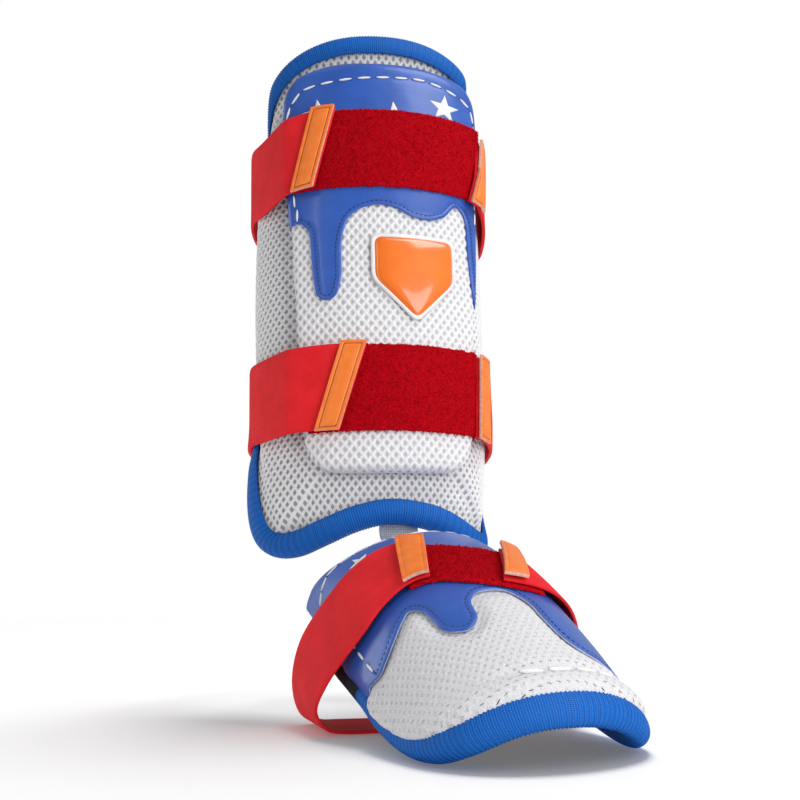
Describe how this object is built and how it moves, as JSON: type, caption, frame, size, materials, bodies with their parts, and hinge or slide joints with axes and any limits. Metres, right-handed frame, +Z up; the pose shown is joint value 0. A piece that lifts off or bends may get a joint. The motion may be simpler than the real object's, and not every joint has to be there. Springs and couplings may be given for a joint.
{
  "type": "baseball shin guard",
  "caption": "Batter's leg guard: curved mesh pad with a raised shin plate and wrap-round straps, linked by webbing to a padded instep guard held by a stirrup strap.",
  "frame": {"origin": "middle of the shin pad's inner face, where it lies on the shin", "axes": "+Z up the leg when standing, +Y back from the pad's inner face towards the calf, +X to the right seen from the front"},
  "size_m": [0.1815, 0.3237, 0.4102],
  "materials": {
    "white_mesh": "white knitted spacer mesh with open cells",
    "blue_binding": "bright blue ribbed grosgrain tape",
    "blue_leather": "royal blue smooth synthetic leather, soft gloss",
    "orange_badge": "glossy moulded orange",
    "red_loop": "dark red brushed loop pile",
    "red_elastic": "red woven elastic",
    "orange_rubber": "matt orange moulded rubber",
    "grey_webbing": "light grey woven webbing",
    "dark_lining": "very dark navy lining"
  },
  "bodies": {
    "root": {"shin_pad": "white_mesh", "shin_binding": "blue_binding", "shin_plate": "white_mesh", "shin_overlay": "blue_leather", "shin_badge": "orange_badge", "upper_loop_panel": "red_loop", "upper_strap": "red_elastic", "upper_tab_left": "orange_rubber", "upper_tab_right": "orange_rubber", "lower_loop_panel": "red_loop", "lower_strap": "red_elastic", "lower_tab_left": "orange_rubber", "lower_tab_right": "orange_rubber", "link_webbing": "grey_webbing", "foot_pad": "dark_lining", "foot_cover": "white_mesh", "foot_overlay": "blue_leather", "foot_binding": "blue_binding", "foot_loop_panel": "red_loop", "foot_strap": "red_elastic", "foot_tab_left": "orange_rubber", "foot_tab_right": "orange_rubber"}
  },
  "joints": []
}
